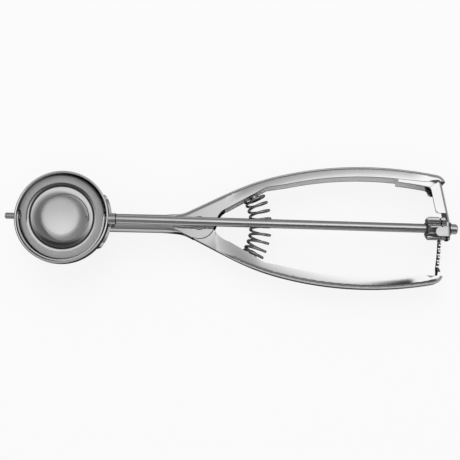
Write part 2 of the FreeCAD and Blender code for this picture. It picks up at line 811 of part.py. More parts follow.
def pinion():
    front = along_spindle(pinion_front_x)
    rear = along_spindle(pinion_rear_x)
    teeth = pinion_outline().extrude(V(rear - front, 0, 0))
    teeth.translate(V(front, 0, 0))
    groove = front + relief_offset
    big = tip_r + 1
    ends = revolve_x([(front, 0), (front, tip_r - pinion_chamfer), (front + pinion_chamfer, tip_r),
                      (groove, tip_r), (groove, relief_r), (groove + relief_length, relief_r),
                      (groove + relief_length, big), (rear + 1, big), (rear + 1, 0)])
    bore = cylinder_x(spindle_r + seat_gap, front - 1, rear + 1)
    gear = teeth.common(ends).cut(bore).cut(pinion_pin_bore(pinion_pin_r + seat_gap))
    return on_spindle(one_solid(gear))


def pinion_pin():
    return on_spindle(pinion_pin_bore(pinion_pin_r))


def rack_gap():
    """Space between two rack teeth, at the mesh, in the spindle's frame."""
    slope = math.tan(math.radians(pressure_angle))
    half = (math.pi * gear_module + tooth_play) / 4.0
    top = rack_addendum + gear_module / 2
    x = along_spindle(mesh_x) - 2 * rack_sheet
    wide = half + top * slope
    narrow = half - rack_dedendum * slope
    corners = [V(x, wide, -pitch_r + top), V(x, narrow, -pitch_r - rack_dedendum),
               V(x, -narrow, -pitch_r - rack_dedendum), V(x, -wide, -pitch_r + top)]
    face = Part.Face(Part.makePolygon(corners + [corners[0]]))
    return on_spindle(face.extrude(V(4 * rack_sheet, 0, 0)))


def arc_band(radius, y_low, y_high, z0, z1):
    """Sheet bent round the hinge at a radius, between two heights."""
    def at(r, y):
        return V(hinge_x + math.sqrt(r * r - y * y), y, 0)
    a = radius - rack_sheet / 2.0
    b = radius + rack_sheet / 2.0
    middle = (y_low + y_high) / 2.0
    edges = [Part.Arc(at(a, y_low), at(a, middle), at(a, y_high)).toShape(),
             Part.LineSegment(at(a, y_high), at(b, y_high)).toShape(),
             Part.Arc(at(b, y_high), at(b, middle), at(b, y_low)).toShape(),
             Part.LineSegment(at(b, y_low), at(a, y_low)).toShape()]
    return prism(edges, z0, z1)


def rack_strip():
    """Toothed strip bent round the hinge, with a heel and a foot inside the lever's nose."""
    line = lever_line
    tips = mesh_z - (pitch_r - rack_addendum) / math.cos(lean_rad)
    back = tips - rack_depth
    low = -reach / 2
    band = arc_band(mesh_r, low, rack_top_y, -reach / 2, reach / 2)
    heel = rack_heel_y - rack_heel_slope
    side = [V(0, rack_top_y + 1, tips), V(0, rack_heel_y, tips), V(0, heel, rack_heel_half),
            V(0, low, rack_heel_half), V(0, low, -rack_heel_half), V(0, heel, -rack_heel_half),
            V(0, rack_heel_y, back), V(0, rack_top_y + 1, back)]
    face = Part.Face(Part.makePolygon(side + [side[0]]))
    band = band.common(face.extrude(V(mesh_x + reach, 0, 0)))
    foot = foot_plate(line)
    body = band.fuse(foot).common(nose_inside(line))
    pitch = math.degrees(math.pi * gear_module / mesh_r)
    for i in range(-rack_gaps_below, rack_gaps_above + 1):
        gap = rack_gap()
        gap.rotate(V(hinge_x, 0, 0), AXIS_Z, i * pitch)
        body = body.cut(gap)
    for hole in foot_rivets(foot_rivet_r + seat_gap, reach):
        body = body.cut(hole)
    return one_solid(body)


def foot_plate(line):
    """Foot of the rack strip along the inside of the lever's sheet."""
    inset = sheet + seat_gap
    first = line.distance_at_x(foot_front_x)
    last = line.length - foot_end_inset
    edges = line.edges(first, last, inset, -1) + line.edges(first, last, inset + rack_sheet, -1)
    for d in (first, last):
        a = line.inset_point(d, inset)
        b = line.inset_point(d, inset + rack_sheet)
        edges.append(Part.LineSegment(V(a.x, -a.y, 0), V(b.x, -b.y, 0)).toShape())
    return prism(edges, -rack_heel_half, rack_heel_half)


def nose_inside(line):
    """Everything inside the lever's sheet near its nose, and all above it."""
    inset = sheet + seat_gap
    first = line.distance_at_x(foot_front_x - nose_r)
    start = line.inset_point(first, inset)
    end = line.inset_point(line.length, inset)
    closing = [V(end.x, -end.y, 0), V(mesh_x + reach, -end.y, 0), V(mesh_x + reach, reach, 0),
               V(start.x, reach, 0), V(start.x, -start.y, 0)]
    return prism(line.edges(first, line.length, inset, -1) + chain(closing), -reach / 2, reach / 2)


def foot_rivets(radius, length):
    """Cylinders through the lever's sheet and the rack strip's foot, at each rivet."""
    line = lever_line
    result = []
    for run in foot_rivet_runs:
        point, heading = line.at(line.distance_at_x(line.nose_start.x - run))
        inner = inward(heading)
        base = V(point.x, -point.y, 0)
        axis = V(inner.x, -inner.y, 0)
        result.append(Part.makeCylinder(radius, length, base, axis))
    return result


def foot_rivet(index):
    """Rivet with a flush outer end and a low head inside."""
    depth = sheet + seat_gap + rack_sheet
    shank = foot_rivets(foot_rivet_r, depth + foot_rivet_head_h)[index]
    head = foot_rivets(foot_rivet_head_r, depth + foot_rivet_head_h)[index]
    keep = foot_rivets(foot_rivet_head_r + sheet, depth + seat_gap)[index]
    return one_solid(shank.fuse(head.cut(keep)))


# Hinge, pegs and spring

def hinge_rivet():
    """Shank through all four ears, with a low round head in front and a flush end at the back."""
    half = channel_half_at(hinge_x + rivet_head_r) + seat_gap
    head = Part.makeCylinder(rivet_head_r, rivet_head_h, V(hinge_x, 0, half))
    rim = [e for e in head.Edges if e.BoundBox.ZMin > half + rivet_head_h / 2]
    head = head.makeFillet(rivet_head_round, rim)
    sink = rivet_sink(0.0, 0.0)
    shank = Part.makeCylinder(rivet_r, half - sink.BoundBox.ZMin, V(hinge_x, 0, sink.BoundBox.ZMin))
    return one_solid(shank.fuse(head).fuse(sink))


def hinge_spacer():
    """Tube on the rivet that keeps the lever's ears apart."""
    half = channel_half_at(hinge_x) - 2 * sheet - side_gap - seat_gap
    tube = Part.makeCylinder(spacer_r, 2 * half, V(hinge_x, 0, -half))
    return one_solid(tube.cut(hinge_hole(rivet_r + run_gap)))


def spring_peg():
    """Peg inside the upper handle that stands in the spring's end turns."""
    line = frame_line
    seat = hinge_ray(spring_arc_r, seat_angle) + V(0, 0, peg_z)
    axis = direction(seat_angle + 90)
    peg = Part.makeCylinder(peg_r, peg_reach + nose_r * 2, seat - axis * peg_reach, axis)
    inset = sheet + seat_gap
    first = line.distance_at_x(joggle_start_x)
    last = line.distance_at_x(bow_flange_start_x)
    start = line.inset_point(first, inset)
    end = line.inset_point(last, inset)
    closing = [end, V(end.x, 0, 0), V(start.x, 0, 0), start]
    room = prism(line.edges(first, last, inset, 1) + chain(closing), -reach, reach)
    tip = [e for e in peg.Edges if (e.CenterOfMass - (seat - axis * peg_reach)).Length < seat_gap]
    return one_solid(peg.makeChamfer(peg_chamfer, tip).common(room))


def spring_point(turn):
    """Centre line of the spring at a number of turns from its lower end."""
    radius = (spring_coil_d - spring_wire_d) / 2.0
    wire_r = spring_wire_d / 2.0
    start = (wire_r + spring_lower_stand) / spring_arc_r - math.radians(seat_angle)
    span = math.radians(seat_angle) - (wire_r + spring_upper_stand) / spring_arc_r - start
    steps = spring_turns - 2 + 2 * end_pitch_share
    pitch = span / steps
    low = min(turn, 1.0)
    middle = min(max(turn - 1.0, 0.0), spring_turns - 2)
    high = max(turn - (spring_turns - 1), 0.0)
    angle = start + pitch * (end_pitch_share * (low + high) + middle)
    phase = 2 * math.pi * turn + math.radians(spring_phase)
    r = spring_arc_r + radius * math.sin(phase)
    return V(hinge_x + r * math.cos(angle), r * math.sin(angle), spring_z + radius * math.cos(phase))


def spring_direction(turn):
    step = 1e-4
    low = max(turn - step, 0.0)
    high = min(turn + step, spring_turns)
    d = spring_point(high) - spring_point(low)
    return d.normalize()


def tangent_arc(a, tangent, b):
    """Arc from a, leaving along a tangent, to b."""
    chord = b - a
    half = chord.Length / 2
    along = chord * (1.0 / chord.Length)
    side = tangent - along * tangent.dot(along)
    if side.Length < 1e-7:
        return Part.LineSegment(a, b).toShape()
    side.normalize()
    angle = math.acos(max(-1.0, min(1.0, tangent.dot(along))))
    middle = a + chord * 0.5 + side * (half * math.tan(angle / 2))
    return Part.Arc(a, middle, b).toShape()


def biarc(a, ta, b, tb):
    """Two tangent arcs from a to b that keep the tangents at both ends."""
    v = b - a
    t = ta + tb
    denominator = 2 * (1 - ta.dot(tb))
    reach_d = (-v.dot(t) + math.sqrt(v.dot(t) ** 2 + denominator * v.dot(v))) / denominator
    joint = (a + b + (ta - tb) * reach_d) * 0.5
    first = tangent_arc(a, ta, joint)
    second = tangent_arc(b, tb * -1.0, joint)
    second.reverse()
    return first, second


def return_spring():
    """Real coils: one round wire swept along tangent arcs, two to each quarter turn."""
    count = int(round(spring_turns * 4))
    places = [spring_turns * i / count for i in range(count + 1)]
    edges = []
    for low, high in zip(places, places[1:]):
        edges += biarc(spring_point(low), spring_direction(low),
                       spring_point(high), spring_direction(high))
    path = Part.Wire(edges)
    start = spring_point(0.0)
    ring = Part.Wire(Part.makeCircle(spring_wire_d / 2.0, start, spring_direction(0.0)))
    tube = path.makePipeShell([ring], True, False)
    length = sum(e.Length for e in edges)
    expected = math.pi * (spring_wire_d / 2.0) ** 2 * length
    print("spring gap", round(spring_least_gap(), 3), "volume ratio", round(tube.Volume / expected, 4))
    return tube


def spring_least_gap():
    """Least gap between turns of the spring, measured on points of its centre line."""
    per_turn = 36
    count = int(spring_turns * per_turn)
    points = [spring_point(i / per_turn) for i in range(count + 1)]
    least = reach
    for i, p in enumerate(points):
        for q in points[i + per_turn // 2:]:
            least = min(least, (p - q).Length)
    return least - spring_wire_d


# Guard clip, rear bush and end button

def guard_clip():
    """Plate on the bracket whose tongue bends forward over the pinion."""
    g = guard_front_x
    arm_low = spindle_height(g - guard_arm) + tip_r / math.cos(lean_rad) + free_gap
    low_y = -guard_drop - guard_half_height
    high_y = -guard_drop + guard_half_height
    top = arm_low + guard_sheet
    side = [V(g + guard_sheet, 0, 0), V(g + guard_sheet, 0, top), V(g - guard_arm, 0, top),
            V(g - guard_arm, 0, arm_low), V(g, 0, arm_low), V(g, 0, 0)]
    hook = Part.Face(Part.makePolygon(side + [side[0]])).extrude(V(0, high_y - low_y, 0))
    hook.translate(V(0, low_y, 0))
    tip = [e for e in hook.Edges
           if e.BoundBox.XMax < g - guard_arm + seat_gap and e.BoundBox.ZLength > guard_sheet / 2]
    hook = hook.makeFillet(guard_tip_r, tip)
    bend = [e for e in hook.Edges if e.BoundBox.XMin > g + guard_sheet - seat_gap
            and e.BoundBox.ZMin > top - seat_gap]
    hook = hook.makeFillet(guard_bend_r, bend)
    margin = bush_r + guard_margin
    plate = box_between(V(g, low_y, mesh_z - margin), V(g + guard_sheet, margin, mesh_z + margin))
    clip = hook.fuse(plate)
    hole = on_spindle(cylinder_x(bush_r + seat_gap, along_spindle(g - sheet), along_spindle(bracket_rear_x)))
    return one_solid(clip.cut(hole))


def rear_bush():
    """Flanged bush that rivets the guard clip to the bracket and carries the spindle."""
    front = along_spindle(guard_front_x)
    face = bracket_rear_x + seat_gap
    flange_end = along_spindle(face) + bush_flange_h
    flange = on_spindle(cylinder_x(bush_flange_r, front, flange_end))
    flange = flange.cut(box_between(V(front - reach, -reach, -reach), V(face, reach, reach)))
    shank = on_spindle(cylinder_x(bush_r, front, flange_end - bush_shank_sink))
    bore = on_spindle(cylinder_x(rear_journal_r + run_gap, front - sheet, flange_end + sheet))
    return one_solid(flange.fuse(shank).cut(bore))


def washer_front():
    return along_spindle(bracket_rear_x + seat_gap) + bush_flange_h + end_play / 4


def button_front():
    return washer_front() + washer_h + end_play / 4


def end_washer():
    start = washer_front()
    ring = cylinder_x(washer_r, start, start + washer_h)
    bore = cylinder_x(rear_journal_r + seat_gap, start - sheet, start + washer_h + sheet)
    return on_spindle(one_solid(ring.cut(bore)))


def end_button():
    """Turned button pressed on the spindle's end."""
    start = button_front()
    end = start + button_length
    body = revolve_x([(start, 0), (start, button_r - button_edge), (start + button_edge, button_r),
                      (end - button_round, button_r), (end, button_r - button_round), (end, 0)])
    bore = cylinder_x(rear_journal_r + seat_gap, start - sheet, start + button_bore_length + seat_gap)
    return on_spindle(one_solid(body.cut(bore)))


def all_pieces():
    """Every node by name, in the working frame."""
    return {
        "bowl": bowl(),
        "saddle": saddle(),
        "front_bush": front_bush(),
        "frame_handle": frame_handle(),
        "hinge_rivet": hinge_rivet(),
        "upper_spring_peg": spring_peg(),
        "guard_clip": guard_clip(),
        "rear_bush": rear_bush(),
        "lever_handle": lever_handle(),
        "hinge_spacer": hinge_spacer(),
        "lower_spring_peg": mirrored(spring_peg()),
        "rack_strip": rack_strip(),
        "rack_rivet_front": foot_rivet(0),
        "rack_rivet_rear": foot_rivet(1),
        "spindle_rod": spindle_rod(),
        "wiper": wiper(),
        "front_pin": front_pin(),
        "pinion": pinion(),
        "pinion_pin": pinion_pin(),
        "end_washer": end_washer(),
        "end_button": end_button(),
        "return_spring": return_spring(),
    }


def export_shift(pieces):
    """Move that puts the origin under the middle of the part's outline box."""
    box = Part.makeCompound(list(pieces.values())).optimalBoundingBox(False, False)
    return V(-(box.XMin + box.XMax) / 2, -(box.YMin + box.YMax) / 2, -box.ZMin)


def main():
    os.makedirs("parts", exist_ok=True)
    pieces = all_pieces()
    shift = export_shift(pieces)
    for name, shape in pieces.items():
        placed = shape.copy()
        placed.translate(shift)
        placed.exportStep("parts/" + name + ".step")
    print("moved by", round(shift.x, 4), round(shift.y, 4), round(shift.z, 4))


if __name__ == "__main__":
    main()
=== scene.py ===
"""Ice cream scoop in polished stainless steel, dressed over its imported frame.

The frame gives every rigid piece. This script makes the bowl anew, crowns the sides of both
handles, gives each piece its steel, and sets the scoop on a pale floor under soft light.
Lengths are in millimetres until they reach Blender, which works in metres.
"""

import json
import logging
import math
from dataclasses import dataclass
from enum import Enum
from typing import Callable

import bpy
from mathutils import Matrix, Vector


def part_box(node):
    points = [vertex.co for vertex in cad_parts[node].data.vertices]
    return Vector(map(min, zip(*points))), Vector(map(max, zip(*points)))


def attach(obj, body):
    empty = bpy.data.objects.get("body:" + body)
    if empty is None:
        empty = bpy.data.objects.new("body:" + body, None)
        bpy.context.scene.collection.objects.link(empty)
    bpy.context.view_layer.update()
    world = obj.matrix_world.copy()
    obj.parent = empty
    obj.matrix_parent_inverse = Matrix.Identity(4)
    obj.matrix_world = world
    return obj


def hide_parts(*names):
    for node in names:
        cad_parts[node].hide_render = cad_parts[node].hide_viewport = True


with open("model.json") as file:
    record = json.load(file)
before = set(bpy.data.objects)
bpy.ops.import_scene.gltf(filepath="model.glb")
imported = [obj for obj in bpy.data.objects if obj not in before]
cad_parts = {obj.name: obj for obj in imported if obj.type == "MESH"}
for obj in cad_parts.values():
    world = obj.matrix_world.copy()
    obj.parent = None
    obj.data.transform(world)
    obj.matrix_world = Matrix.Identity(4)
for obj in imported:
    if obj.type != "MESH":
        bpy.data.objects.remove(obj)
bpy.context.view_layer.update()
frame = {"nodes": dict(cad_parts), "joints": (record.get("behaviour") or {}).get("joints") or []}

MM = 0.001
PHOTO_SIDE_PX = 460.0
BORE_R_MM = 22.9         # the bowl's inside radius
SHEET_ANGLE_DEG = 32.0   # faces that meet at less than this are shaded as one
WELD_MM = 0.0005         # corners closer than this are one corner
SAME_PLACE = 1e-6        # metres within which two places count as equal
LOG = logging.getLogger("scoop")

# Each station of a channel: place along X, distance of its back from the middle, half depth
Outline = list[tuple[float, float, float]]


# Plain helpers

def linear(hex_colour: str) -> tuple[float, float, float, float]:
    """Turn an sRGB hex colour into the linear values that a socket takes.

    Args:
        hex_colour: Six hex digits without a leading sign.

    Returns:
        Red, green, blue and a full alpha.
    """
    parts = [int(hex_colour[i:i + 2], 16) / 255.0 for i in (0, 2, 4)]
    values = [c / 12.92 if c <= 0.04045 else ((c + 0.055) / 1.055) ** 2.4 for c in parts]
    return values[0], values[1], values[2], 1.0


def clear_selection() -> None:
    """Go back to object mode with nothing selected."""
    if bpy.context.object is not None and bpy.context.object.mode != "OBJECT":
        bpy.ops.object.mode_set(mode="OBJECT")
    bpy.ops.object.select_all(action="DESELECT")


def only(obj: bpy.types.Object) -> None:
    """Make an object the only selected one and the active one."""
    clear_selection()
    obj.select_set(True)
    bpy.context.view_layer.objects.active = obj


def pick(obj: bpy.types.Object, kind: str, test: Callable[[object], bool]) -> None:
    """Select an object's edges or faces by a test and leave it in edit mode.

    Args:
        obj: The mesh object to work on.
        kind: EDGE or FACE.
        test: Says whether an element is wanted.
    """
    only(obj)
    bpy.ops.object.mode_set(mode="EDIT")
    bpy.ops.mesh.select_mode(type=kind)
    bpy.ops.mesh.select_all(action="DESELECT")
    bpy.ops.object.mode_set(mode="OBJECT")
    items = {"EDGE": obj.data.edges, "FACE": obj.data.polygons}[kind]
    for item in [item for item in items if test(item)]:
        item.select = True
    bpy.ops.object.mode_set(mode="EDIT")


def edge_middle(obj: bpy.types.Object, edge: bpy.types.MeshEdge) -> Vector:
    """Middle of an edge in the object's own space."""
    a, b = (obj.data.vertices[i].co for i in edge.vertices)
    return (a + b) / 2


def edge_direction(obj: bpy.types.Object, edge: bpy.types.MeshEdge) -> Vector:
    """Unit vector along an edge."""
    a, b = (obj.data.vertices[i].co for i in edge.vertices)
    return (b - a).normalized()


def bake_modifier(obj: bpy.types.Object, kind: str, **settings: object) -> None:
    """Add a modifier with its settings and apply it.

    Args:
        obj: The object to finish.
        kind: The modifier's type name.
        settings: Values for the modifier's own properties.
    """
    only(obj)
    modifier = obj.modifiers.new(kind.title(), kind)
    for key, value in settings.items():
        setattr(modifier, key, value)
    bpy.ops.object.modifier_apply(modifier=modifier.name)


def ease(value: float, start: float, end: float) -> float:
    """Zero before start, one after end, and a soft step between them."""
    t = min(1.0, max(0.0, (value - start) / (end - start)))
    return t * t * (3.0 - 2.0 * t)


def smooth_faces(obj: bpy.types.Object, angle: float) -> None:
    """Smooth an object's faces up to an angle in degrees and weigh its normals by face size."""
    only(obj)
    bpy.ops.object.shade_smooth_by_angle(angle=math.radians(angle))
    bake_modifier(obj, "WEIGHTED_NORMAL", keep_sharp=True, mode="FACE_AREA")


def place(obj: bpy.types.Object, matrix: Matrix) -> None:
    """Move a finished shape to its place and apply that to its mesh.

    Args:
        obj: The object, modelled about the origin.
        matrix: Its place in the object's frame.
    """
    obj.matrix_world = matrix
    only(obj)
    bpy.ops.object.transform_apply(location=True, rotation=True, scale=True)


def hand_over(obj: bpy.types.Object, name: str, body: str, slot: str, *nodes: str) -> None:
    """Name a finished piece, put it on its body and let it stand for frame nodes.

    Args:
        obj: The finished object.
        name: The piece's name.
        body: The body that carries it.
        slot: The record's material slot; not used.
        nodes: Frame nodes that it stands for.
    """
    obj.name = name
    obj.data.name = name
    if nodes:
        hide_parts(*nodes)
    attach(obj, body)
    LOG.info("%s: %d faces on %s", name, len(obj.data.polygons), body)


def add_node(tree: bpy.types.NodeTree, kind: str, settings: dict, links: dict) -> bpy.types.Node:
    """Add a shader node with its settings and incoming links.

    Args:
        tree: The tree that gets the node.
        kind: The node's type name.
        settings: Values for the node's own properties.
        links: Output sockets by the name or number of the input they feed.

    Returns:
        The new node.
    """
    node = tree.nodes.new(kind)
    for key, value in settings.items():
        setattr(node, key, value)
    for key, socket in links.items():
        tree.links.new(socket, node.inputs[key])
    return node


@dataclass(frozen=True)
class SpindleLine:
    """The spindle's place: the bowl's centre, and the direction that runs to the rear."""

    centre: Vector
    axis: Vector

    @classmethod
    def from_frame(cls) -> "SpindleLine":
        """Read the line from the frame's spindle joint."""
        joint = next(j for j in frame["joints"] if j["name"] == "spindle_turn")
        return cls(Vector(joint["pos_m"]), Vector(joint["axis"]).normalized())

    def matrix(self) -> Matrix:
        """Space with its origin at the bowl's centre, X to the rear and Z out of the mouth."""
        up = self.axis.cross(Vector((0, 1, 0))).normalized()
        basis = Matrix((self.axis, Vector((0, 1, 0)), up)).transposed()
        return Matrix.Translation(self.centre) @ basis.to_4x4()


SPINDLE = SpindleLine.from_frame()


# Finishes

CLOUD_DETAIL = 3.0
MARK_DETAIL = 2.0
ALONG_STRETCH = (0.03, 1.0, 1.0)   # lengthens marks that run along X
FULL_WEAR = 0.5                    # product of both noises at which the roughness is highest


class Grain(Enum):
    """Which way the marks of polishing and drawing run on a piece."""

    ALONG = "along the piece"
    AROUND = "round the bowl's axis"
    EVEN = "no direction"


@dataclass(frozen=True)
class Steel:
    """One kind of bare stainless surface.

    Colour is the metal's own pale grey. The cloud gives slow changes of gloss, as left by a
    polishing mop, and the grain gives fine marks that stretch the highlights a little.
    """

    name: str
    colour: str
    worn_colour: str
    roughness: float
    roughness_spread: float
    grain: Grain
    marks_per_mm: float
    mark_height_mm: float
    cloud_mm: float
    # Grazing tint: steel dims a little at grazing angles, and this much darker value is painted
    # shade on every outline
    painted_edge_shade: str = "262626"
    metal: float = 1.0

    def build(self) -> bpy.types.Material:
        """Make the material's nodes.

        Returns:
            The material, ready for a piece.
        """
        material = bpy.data.materials.new(self.name)
        material.use_nodes = True
        tree = material.node_tree
        shader = tree.nodes["Principled BSDF"]
        shader.inputs["Metallic"].default_value = self.metal
        # Specular tint: painted shade along the outlines
        shader.inputs["Specular Tint"].default_value = linear(self.painted_edge_shade)
        place_node = add_node(tree, "ShaderNodeTexCoord", {}, {})
        cloud = self._cloud(tree, place_node)
        marks = self._marks(tree, place_node)
        colour = add_node(tree, "ShaderNodeMix", {"data_type": "RGBA"},
                          {0: cloud.outputs["Fac"]})
        colour.inputs[6].default_value = linear(self.colour)
        colour.inputs[7].default_value = linear(self.worn_colour)
        both = add_node(tree, "ShaderNodeMath", {"operation": "MULTIPLY"},
                        {0: cloud.outputs["Fac"], 1: marks.outputs["Fac"]})
        gloss = add_node(tree, "ShaderNodeMapRange", {}, {"Value": both.outputs[0]})
        gloss.inputs["From Max"].default_value = FULL_WEAR
        gloss.inputs["To Min"].default_value = self.roughness
        gloss.inputs["To Max"].default_value = self.roughness + self.roughness_spread
        bump = add_node(tree, "ShaderNodeBump", {}, {"Height": marks.outputs["Fac"]})
        bump.inputs["Strength"].default_value = 1.0
        bump.inputs["Distance"].default_value = self.mark_height_mm * MM
        tree.links.new(colour.outputs[2], shader.inputs["Base Color"])
        tree.links.new(gloss.outputs[0], shader.inputs["Roughness"])
        tree.links.new(bump.outputs[0], shader.inputs["Normal"])
        return material

    def _cloud(self, tree: bpy.types.NodeTree, source: bpy.types.Node) -> bpy.types.Node:
        """Slow, soft changes over the piece."""
        cloud = add_node(tree, "ShaderNodeTexNoise", {}, {"Vector": source.outputs["Object"]})
        cloud.inputs["Scale"].default_value = 1.0 / (self.cloud_mm * MM)
        cloud.inputs["Detail"].default_value = CLOUD_DETAIL
        return cloud

    def _marks(self, tree: bpy.types.NodeTree, source: bpy.types.Node) -> bpy.types.Node:
        """Fine marks, stretched along their direction.

        Args:
            tree: The material's tree.
            source: The texture coordinate node.

        Returns:
            The noise node that carries the marks.
        """
        vector = source.outputs["Object"]
        mapping = add_node(tree, "ShaderNodeMapping", {}, {"Vector": vector})
        if self.grain is Grain.ALONG:
            mapping.inputs["Scale"].default_value = ALONG_STRETCH
        if self.grain is Grain.AROUND:
            turned = SPINDLE.matrix().inverted()
            mapping.inputs["Location"].default_value = turned.translation
            mapping.inputs["Rotation"].default_value = turned.to_euler()
            radial = add_node(tree, "ShaderNodeVectorMath", {"operation": "LENGTH"},
                              {0: self._flat(tree, mapping).outputs[0]})
            height = add_node(tree, "ShaderNodeSeparateXYZ", {}, {0: mapping.outputs[0]})
            rings = add_node(tree, "ShaderNodeCombineXYZ", {},
                             {"X": radial.outputs["Value"], "Z": height.outputs["Z"]})
            return self._noise(tree, rings.outputs[0])
        return self._noise(tree, mapping.outputs[0])

    def _flat(self, tree: bpy.types.NodeTree, source: bpy.types.Node) -> bpy.types.Node:
        """Drop the height from a place, which leaves the distance from the axis."""
        flat = add_node(tree, "ShaderNodeVectorMath", {"operation": "MULTIPLY"},
                        {0: source.outputs[0]})
        flat.inputs[1].default_value = (1.0, 1.0, 0.0)
        return flat

    def _noise(self, tree: bpy.types.NodeTree, vector: bpy.types.NodeSocket) -> bpy.types.Node:
        """The marks' own fine noise."""
        noise = add_node(tree, "ShaderNodeTexNoise", {}, {"Vector": vector})
        noise.inputs["Scale"].default_value = self.marks_per_mm / MM
        noise.inputs["Detail"].default_value = MARK_DETAIL
        return noise


@dataclass(frozen=True)
class SpunSteel(Steel):
    """Steel of the spun bowl, with a pale matt patch on its inside that is a painted reflection.

    The patch lies round a fixed direction from the bowl's centre and fades between two radii.
    """

    # The patch is a painted reflection: pale, mostly matt colour on the bore straight across from
    # the camera
    patch_middle: tuple[float, float, float] = (-0.300, 0.222, -0.928)
    patch_clear_mm: float = 8.0
    patch_edge_mm: float = 12.2
    patch_roughness: float = 0.55
    patch_metal: float = 0.25
    painted_reflection_colour: str = "F6F6F6"
    skin_mm: float = 0.4

    def build(self) -> bpy.types.Material:
        """Make the steel and lay the painted reflection patch into it.

        Returns:
            The material, ready for the bowl.
        """
        material = super().build()
        tree = material.node_tree
        shader = tree.nodes["Principled BSDF"]
        mask = self._painted_reflection_mask(tree)
        for name, value in (("Roughness", self.patch_roughness), ("Metallic", self.patch_metal)):
            mix = add_node(tree, "ShaderNodeMix", {"data_type": "FLOAT"}, {0: mask})
            mix.inputs[3].default_value = value
            if shader.inputs[name].is_linked:
                tree.links.new(shader.inputs[name].links[0].from_socket, mix.inputs[2])
            else:
                mix.inputs[2].default_value = shader.inputs[name].default_value
            tree.links.new(mix.outputs[0], shader.inputs[name])
        # Near-white colour of the patch: painted reflection
        pale = add_node(tree, "ShaderNodeMix", {"data_type": "RGBA"},
                        {0: mask, 6: shader.inputs["Base Color"].links[0].from_socket})
        pale.inputs[7].default_value = linear(self.painted_reflection_colour)
        tree.links.new(pale.outputs[2], shader.inputs["Base Color"])
        return material

    def _painted_reflection_mask(self, tree: bpy.types.NodeTree) -> bpy.types.NodeSocket:
        """Mask that is one on the painted reflection patch and falls softly to nothing at its
        edge.

        Args:
            tree: The bowl's material tree.

        Returns:
            The socket that carries the mask.
        """
        source = add_node(tree, "ShaderNodeTexCoord", {}, {})
        middle = SPINDLE.centre + Vector(self.patch_middle).normalized() * BORE_R_MM * MM
        run = add_node(tree, "ShaderNodeVectorMath", {"operation": "DISTANCE"},
                       {0: source.outputs["Object"]})
        run.inputs[1].default_value = middle
        depth = add_node(tree, "ShaderNodeVectorMath", {"operation": "DISTANCE"},
                         {0: source.outputs["Object"]})
        depth.inputs[1].default_value = SPINDLE.centre
        inside = add_node(tree, "ShaderNodeMath", {"operation": "LESS_THAN"},
                          {0: depth.outputs["Value"]})
        inside.inputs[1].default_value = (BORE_R_MM + self.skin_mm) * MM
        zone = add_node(tree, "ShaderNodeMapRange", {"interpolation_type": "SMOOTHSTEP"},
                        {"Value": run.outputs["Value"]})
        zone.inputs["From Min"].default_value = self.patch_clear_mm * MM
        zone.inputs["From Max"].default_value = self.patch_edge_mm * MM
        zone.inputs["To Min"].default_value = 1.0
        zone.inputs["To Max"].default_value = 0.0
        mask = add_node(tree, "ShaderNodeMath", {"operation": "MULTIPLY"},
                        {0: zone.outputs[0], 1: inside.outputs[0]})
        return mask.outputs[0]


# Mirror polish inside and out: the spun bowl shows clear rings of its own reflection, and its pale
# matt patch inside is a painted reflection
SPUN_MIRROR = SpunSteel("Spun stainless sheet, mirror polished", "D8D8D8", "CECECE",
                        roughness=0.03, roughness_spread=0.04, grain=Grain.AROUND,
                        marks_per_mm=3.0, mark_height_mm=0.0006, cloud_mm=9.0)
# Mop polish over pressed sheet: bright, with highlights drawn out along the handle
PRESSED_POLISH = Steel("Pressed stainless sheet, mop polished", "D6D6D6", "CBCBCB",
                       roughness=0.06, roughness_spread=0.06, grain=Grain.ALONG,
                       marks_per_mm=2.5, mark_height_mm=0.0008, cloud_mm=14.0)
# The same sheet as it came from the mill, inside the channels: dull, and its near-white colour is
# painted light that lifts the shade there
ROLLED_SKIN_AND_PAINTED_LIGHT = Steel("Pressed stainless sheet, as rolled", "F0F0F0", "E8E8E8",
                      roughness=0.58, roughness_spread=0.10, grain=Grain.EVEN,
                      marks_per_mm=3.0, mark_height_mm=0.0015, cloud_mm=5.0, metal=0.3)
# Drawn rod: straight fine marks and a softer shine
DRAWN_ROD = Steel("Drawn stainless rod, ground", "CECECE", "BFBFBF",
                  roughness=0.15, roughness_spread=0.08, grain=Grain.ALONG,
                  marks_per_mm=4.0, mark_height_mm=0.0015, cloud_mm=8.0)
# Sheet blade, polished with the bowl that it sweeps: it mirrors the wall across from it
POLISHED_BLADE = Steel("Blanked stainless strip, mirror polished", "D4D4D4", "C8C8C8",
                       roughness=0.04, roughness_spread=0.05, grain=Grain.EVEN,
                       marks_per_mm=3.0, mark_height_mm=0.0005, cloud_mm=6.0)
# Cut teeth: darker, duller metal with the marks of the cutter
CUT_GEAR = Steel("Cut and milled steel, bare", "CACACA", "B4B4B4",
                 roughness=0.17, roughness_spread=0.12, grain=Grain.EVEN,
                 marks_per_mm=3.5, mark_height_mm=0.0030, cloud_mm=3.0)
# Peened rivets and turned ends: small round pieces with a clean highlight
TURNED_END = Steel("Turned and peened stainless, polished", "C4C4C4", "B2B2B2",
                   roughness=0.12, roughness_spread=0.10, grain=Grain.EVEN,
                   marks_per_mm=3.0, mark_height_mm=0.0012, cloud_mm=2.5)
# Hard drawn wire: darker than the sheet, so that the coils stand out
SPRING_WIRE = Steel("Hard drawn spring wire, bright", "A9A9A9", "949494",
                    roughness=0.18, roughness_spread=0.12, grain=Grain.EVEN,
                    marks_per_mm=4.0, mark_height_mm=0.0020, cloud_mm=4.0)
# Folded clip, brushed: a duller grey beside the polished handle
BRUSHED_CLIP = Steel("Folded stainless strip, brushed", "C0C0C0", "B0B0B0",
                     roughness=0.20, roughness_spread=0.12, grain=Grain.EVEN,
                     marks_per_mm=3.0, mark_height_mm=0.0020, cloud_mm=4.0)


